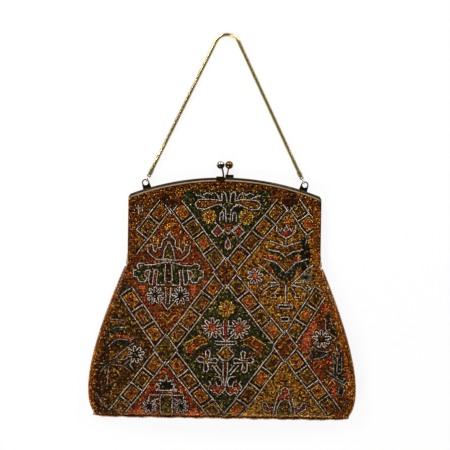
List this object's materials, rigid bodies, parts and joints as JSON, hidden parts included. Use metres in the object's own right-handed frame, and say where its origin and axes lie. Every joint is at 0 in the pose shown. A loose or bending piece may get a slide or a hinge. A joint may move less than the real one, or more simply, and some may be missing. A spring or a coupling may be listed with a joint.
{
  "type": "beaded purse",
  "caption": "Framed evening purse of bead-covered cloth with a diamond lattice, a kiss-lock clasp on a hinged arched frame and a snake-chain handle.",
  "frame": {"origin": "middle of the hinge line, on the plane the back lies on", "axes": "+X to the right seen from the front, +Y from the pouch towards the handle, +Z out of the front face"},
  "size_m": [0.2304, 0.3302, 0.0283],
  "materials": {
    "gilt_metal": "worn gilt",
    "dark_brass": "dulled",
    "worn_silver": "polished, plating worn",
    "chain_metal": "polished",
    "beadwork": "glass beads on cloth",
    "satin": "satin"
  },
  "bodies": {
    "purse_body": {"rear_frame": "gilt_metal", "hinge_rivet_left": "dark_brass", "hinge_rivet_right": "dark_brass", "lug_left": "dark_brass", "lug_right": "dark_brass", "rear_foot": "dark_brass", "rear_knob": "dark_brass", "rear_panel": "beadwork", "front_panel": "beadwork", "front_fold": "beadwork", "side_left": "beadwork", "side_right": "beadwork", "lining_rear": "satin", "lining_front": "satin", "lattice_lower": "beadwork"},
    "front_half": {"front_frame": "gilt_metal", "front_foot": "dark_brass", "front_knob": "worn_silver", "front_panel_top": "beadwork", "lining_top": "satin", "lattice_upper": "beadwork"},
    "handle": {"ring_left": "gilt_metal", "ring_right": "gilt_metal", "chain_end_left": "gilt_metal", "chain_end_right": "gilt_metal", "snake_chain": "chain_metal"}
  },
  "joints": [
    {"name": "frame_hinge", "type": "hinge", "parent": "purse_body", "child": "front_half", "pos_m": [0, 0, 0.00415], "axis": [1, 0, 0], "range_deg": [0, 70], "deforming": ["front_fold"]},
    {"name": "handle_swing", "type": "hinge", "parent": "purse_body", "child": "handle", "pos_m": [0, 0.07099, 0.00335], "axis": [1, 0, 0], "range_deg": [-90, 90]}
  ]
}
